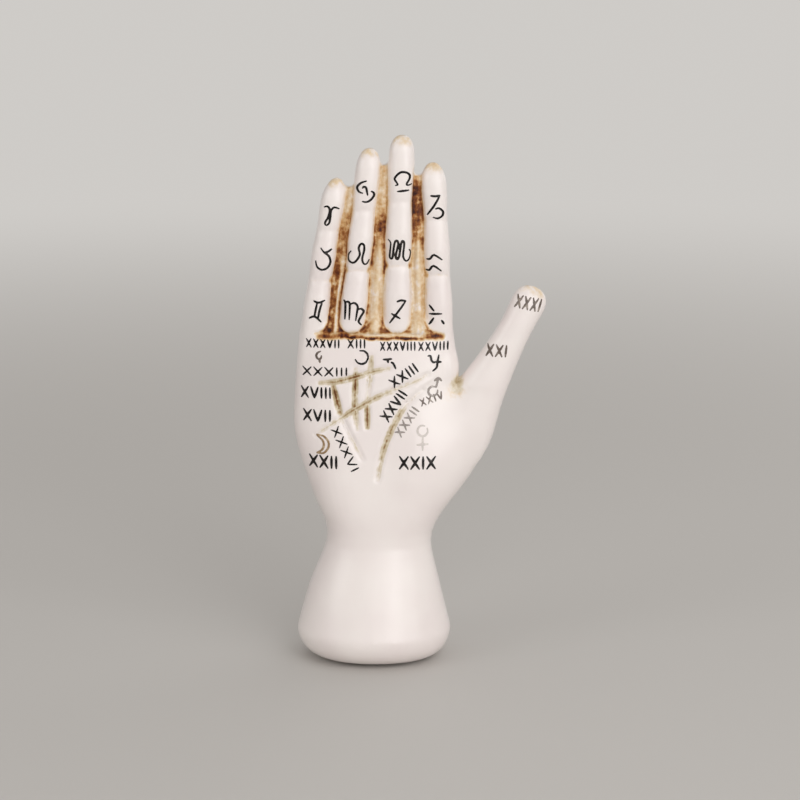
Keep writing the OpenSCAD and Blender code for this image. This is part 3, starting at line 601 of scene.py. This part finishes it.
stain_and_shade_colour = banded(stain_and_shade, depth, [
    (0.0, colour(244, 235, 231)),
    (0.22, colour(229, 206, 172)),
    (0.42, colour(205, 162, 108)),
    (0.6, colour(152, 94, 42)),
    (0.8, colour(108, 52, 14)),
    (1.0, colour(52, 14, 4)),
])
line_wash = banded(stain_and_shade, depth, [
    (0.0, colour(243, 235, 229)),
    (0.22, colour(220, 206, 182)),
    (0.42, colour(184, 164, 128)),
    (0.6, colour(140, 101, 58)),
    (0.8, colour(108, 66, 30)),
    (1.0, colour(60, 26, 10)),
])
stain_and_shade_colour = mixed(stain_and_shade, on_line, stain_and_shade_colour, line_wash)
surface = mixed(stain_and_shade, stepped(stain_and_shade, depth, 0.02, 0.2), clay, stain_and_shade_colour)
stain_and_shade.links.new(surface, made.inputs["Colour"])
stained = stepped(stain_and_shade, depth, 0.2, 0.6)
gloss = worked(stain_and_shade, "ADD", 0.3, worked(stain_and_shade, "MULTIPLY", stained, 0.3))
stain_and_shade.links.new(gloss, made.inputs["Roughness"])
coat = worked(stain_and_shade, "SUBTRACT", 0.5, worked(stain_and_shade, "MULTIPLY", stained, 0.44))
stain_and_shade.links.new(coat, made.inputs["Coat"])


def glazed(name):
    material, tree, shader = painted(name)
    group = shade_node(tree, "ShaderNodeGroup", node_tree=stain_and_shade)
    tree.links.new(group.outputs["Colour"], shader.inputs["Base Color"])
    tree.links.new(group.outputs["Roughness"], shader.inputs["Roughness"])
    tree.links.new(group.outputs["Coat"], shader.inputs["Coat Weight"])
    shader.inputs["Specular IOR Level"].default_value = 0.3
    shader.inputs["Coat Roughness"].default_value = 0.2
    return material, tree, shader


glaze, tree, shader = glazed("cream_glaze")
ripple = shade_node(tree, "ShaderNodeBump")
ripple.inputs["Strength"].default_value = 0.12
ripple.inputs["Distance"].default_value = 0.3 * MM
tree.links.new(noise(tree, 5 * MM, 2), ripple.inputs["Height"])
tree.links.new(ripple.outputs["Normal"], shader.inputs["Normal"])
hand.data.materials.clear()
hand.data.materials.append(glaze)

# Signs, labels and line colour
# Fired colour on the glaze: printed transfers for the signs and numerals, and brushed brown in the palm
# lines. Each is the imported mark's own outline, rounded a little and laid on the hand's skin.
bm = bmesh.new()
bm.from_mesh(hand.data)
hand_skin = BVHTree.FromBMesh(bm)
bm.free()
film_low = 0.02 * MM
print_spacing, print_high = 0.15 * MM, 0.12 * MM
line_spacing, line_high = 0.2 * MM, 0.05 * MM


def laid_on_hand(node, name, spacing, film_high):
    """A packed mark as a thin film on the hand, from film_low to film_high above its skin."""
    piece = even_skin(merged_copy(node), name, spacing)
    soften(piece.data, 3)
    points, facing = points_of(piece.data), normals_of(piece.data)
    for i, point in enumerate(points):
        place, normal = hand_skin.find_nearest(point)[:2]
        share = 0.5 + 0.5 * normal.dot(Vector(facing[i]))
        points[i] = place + normal * (film_low + (film_high - film_low) * share)
    piece.data.vertices.foreach_set("co", np.clip(points, cad_low, cad_high).ravel())
    piece.data.polygons.foreach_set("use_smooth", [True] * len(piece.data.polygons))
    piece.data.update()
    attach(piece, "root")
    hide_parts(node)
    return piece


# Fired colour: thin places and fine specks, shared by every ink
fired = bpy.data.node_groups.new("fired_colour", "ShaderNodeTree")
for name in ("Full", "Thin"):
    fired.interface.new_socket(name, in_out="INPUT", socket_type="NodeSocketColor")
fired.interface.new_socket("Colour", in_out="OUTPUT", socket_type="NodeSocketColor")
fired.interface.new_socket("Roughness", in_out="OUTPUT", socket_type="NodeSocketFloat")
given = fired.nodes.new("NodeGroupInput")
made = fired.nodes.new("NodeGroupOutput")
thin = stepped(fired, noise(fired, 1.3 * MM, 4), 0.48, 0.75)
fired.links.new(mixed(fired, thin, given.outputs["Full"], given.outputs["Thin"]), made.inputs["Colour"])
fired.links.new(worked(fired, "ADD", 0.25, worked(fired, "MULTIPLY", thin, 0.15)), made.inputs["Roughness"])


def ink(name, full, thin):
    material, tree, shader = painted(name)
    group = shade_node(tree, "ShaderNodeGroup", node_tree=fired)
    group.inputs["Full"].default_value = full
    group.inputs["Thin"].default_value = thin
    tree.links.new(group.outputs["Colour"], shader.inputs["Base Color"])
    tree.links.new(group.outputs["Roughness"], shader.inputs["Roughness"])
    shader.inputs["Specular IOR Level"].default_value = 0.25
    shader.inputs["Coat Weight"].default_value = 0.15
    shader.inputs["Coat Roughness"].default_value = 0.2
    return material


black_ink = ink("black_ink", colour(18, 13, 11), colour(52, 44, 40))
faded_ink = ink("faded_ink", colour(104, 92, 84), colour(168, 156, 146))
dull_ink = ink("dull_ink", colour(118, 106, 98), colour(176, 166, 158))
grey_ink = ink("grey_ink", colour(154, 145, 139), colour(206, 197, 191))
faint_ink = ink("faint_ink", colour(212, 203, 197), colour(232, 223, 217))
brown_ink = ink("brown_ink", colour(152, 126, 94), colour(210, 191, 162))
grey_marks = {"mars_planet_sign", "venus_planet_sign", "life_label", "inner_mars_label"}
grey_inks = {"venus_planet_sign": faint_ink, "inner_mars_label": dull_ink}
brown_marks = {"moon_planet_sign"}
faded_marks = {"will_label", "logic_label", "mercury_planet_sign"}
for node in sorted(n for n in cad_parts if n.endswith(("_sign", "_label"))):
    piece = laid_on_hand(node, node + "_print", print_spacing, print_high)
    piece.data.materials.clear()
    if node in grey_marks:
        piece.data.materials.append(grey_inks.get(node, grey_ink))
    elif node in brown_marks:
        piece.data.materials.append(brown_ink)
    else:
        piece.data.materials.append(faded_ink if node in faded_marks else black_ink)


def within_film(mesh):
    """Rises from 0 at the rim of a laid film to 1 along its middle."""
    points, edges = points_of(mesh), edges_of(mesh)
    up = np.array([hand_skin.find_nearest(point)[1] for point in points])
    level = np.abs(np.sum(normals_of(mesh) * up, 1))[:, None]
    for _ in range(6):
        level = np.minimum(level, neighbour_mean(level, edges))
    return ramp(level[:, 0], 0.75, 1)


line_colour = glazed("line_colour")[0]
for node, (run, places, strengths) in palm_lines.items():
    piece = laid_on_hand(node, node.replace("_fill", "_colour"), line_spacing, line_high)
    along = points_of(piece.data)[:, run] / MM
    core = within_film(piece.data)
    layer = piece.data.attributes.new("line", "FLOAT", "POINT")
    values = np.interp(along, places, strengths) * (0.6 + 0.6 * core)
    layer.data.foreach_set("value", values.astype(np.float32))
    piece.data.materials.clear()
    piece.data.materials.append(line_colour)

# Stopper
# A soft rubber stopper, pushed into the pour hole from below before the felt goes on.
rubber, tree, shader = painted("dark_rubber")
worn = stepped(tree, noise(tree, 1.5 * MM, 4), 0.35, 0.7)
tree.links.new(mixed(tree, worn, colour(70, 64, 62), colour(92, 86, 82)), shader.inputs["Base Color"])
tree.links.new(worked(tree, "ADD", 0.6, worked(tree, "MULTIPLY", worn, 0.2)), shader.inputs["Roughness"])
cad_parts["pour_hole_stopper"].data.materials.clear()
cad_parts["pour_hole_stopper"].data.materials.append(rubber)

# Base pad
# A disc of pressed brown wool felt, cut to the foot's flat and glued into its recess.
pad_low, pad_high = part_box("base_pad")
pad_w, pad_d, pad_t = pad_high - pad_low
bm = bmesh.new()
disc = bmesh.ops.create_circle(bm, cap_ends=True, segments=64, radius=0.5)["verts"]
bmesh.ops.scale(bm, vec=(pad_w, pad_d, 1), verts=disc)
rim_width, rim_round = 1.2 * MM, 0.4 * MM
bmesh.ops.inset_region(bm, faces=bm.faces[:], thickness=rim_width)
raised = bmesh.ops.extrude_face_region(bm, geom=bm.faces[:])["geom"]
bmesh.ops.translate(bm, verts=[g for g in raised if isinstance(g, bmesh.types.BMVert)], vec=(0, 0, pad_t))
bmesh.ops.recalc_face_normals(bm, faces=bm.faces[:])
rims = [e for e in bm.edges if not e.is_boundary and e.calc_face_angle(0) > 1]
bmesh.ops.bevel(
    bm,
    geom=rims,
    offset=rim_round,
    offset_type="OFFSET",
    segments=3,
    profile=0.5,
    affect="EDGES",
    material=-1,
)
pad_mesh = bpy.data.meshes.new("felt_pad")
bm.to_mesh(pad_mesh)
bm.free()
pad = bpy.data.objects.new("felt_pad", pad_mesh)
scene.collection.objects.link(pad)
pad_mesh.polygons.foreach_set("use_smooth", [True] * len(pad_mesh.polygons))
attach(pad, "root")
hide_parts("base_pad")
felt, tree, shader = painted("brown_felt")
fibres = noise(tree, 0.35 * MM, 5, (1, 0.35, 1))
tufts = noise(tree, 2.5 * MM, 3)
fuzz = worked(tree, "ADD", worked(tree, "MULTIPLY", fibres, 0.7), worked(tree, "MULTIPLY", tufts, 0.3))
brown = mixed(tree, stepped(tree, fuzz, 0.3, 0.7), colour(52, 37, 30), colour(96, 74, 60))
tree.links.new(brown, shader.inputs["Base Color"])
shader.inputs["Roughness"].default_value = 0.95
shader.inputs["Sheen Weight"].default_value = 0.4
nap = shade_node(tree, "ShaderNodeBump")
nap.inputs["Strength"].default_value = 0.7
nap.inputs["Distance"].default_value = 0.2 * MM
tree.links.new(fuzz, nap.inputs["Height"])
tree.links.new(nap.outputs["Normal"], shader.inputs["Normal"])
pad_mesh.materials.append(felt)
